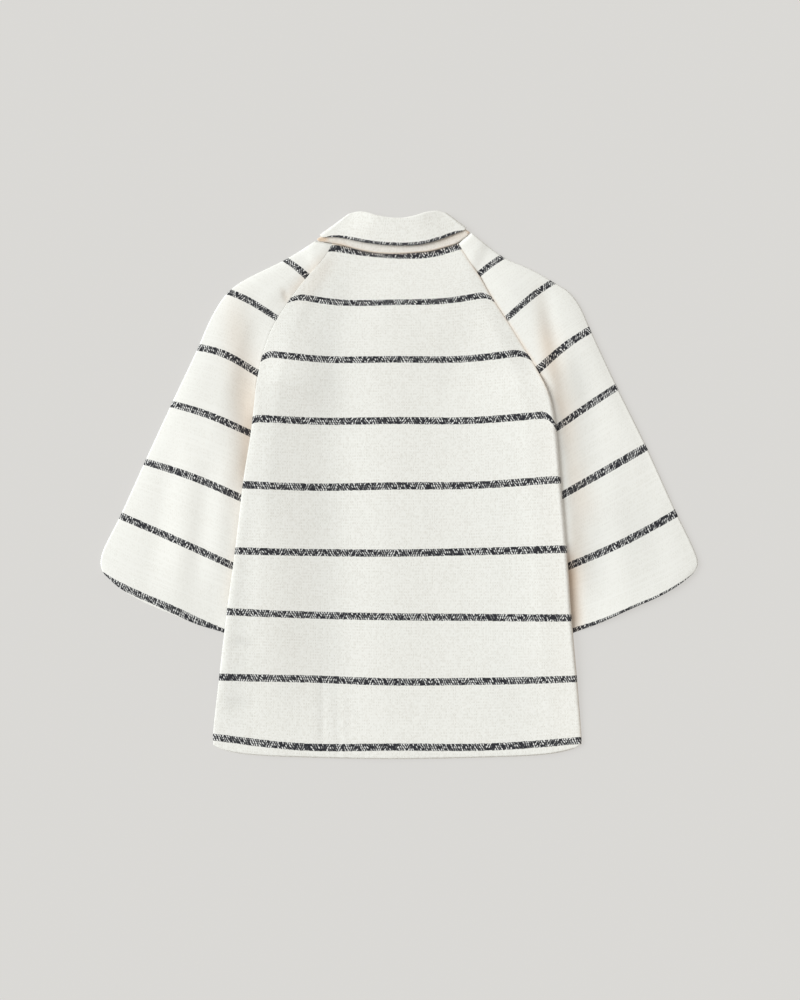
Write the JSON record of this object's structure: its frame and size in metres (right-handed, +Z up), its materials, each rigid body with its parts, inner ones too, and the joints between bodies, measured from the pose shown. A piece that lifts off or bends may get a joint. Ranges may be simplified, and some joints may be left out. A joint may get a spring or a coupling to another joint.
{
  "type": "raglan sleeve collared top laid flat",
  "caption": "Child's collared top with raglan elbow sleeves, laid flat with its back up, in ivory cloth with thin dark cross stripes.",
  "frame": {"origin": "on the surface that the garment lies on, under the middle of its overall box", "axes": "+X across the garment from its left sleeve to its right sleeve, +Y from hem to collar, +Z up off the surface, out of the back"},
  "size_m": [0.5372, 0.4939, 0.0089],
  "materials": {
    "body_cloth": "matte slubbed weave, ivory with thin dark cross stripes",
    "sleeve_cloth": "matte slubbed weave, ivory with thin dark cross stripes",
    "collar_cloth": "matte slubbed weave, ivory with a dark edge stripe",
    "stand_cloth": "matte weave"
  },
  "bodies": {
    "root": {"back": "body_cloth", "front": "body_cloth", "sleeve_left": "sleeve_cloth", "sleeve_right": "sleeve_cloth", "collar_leaf": "collar_cloth", "collar_stand": "stand_cloth"}
  },
  "joints": []
}
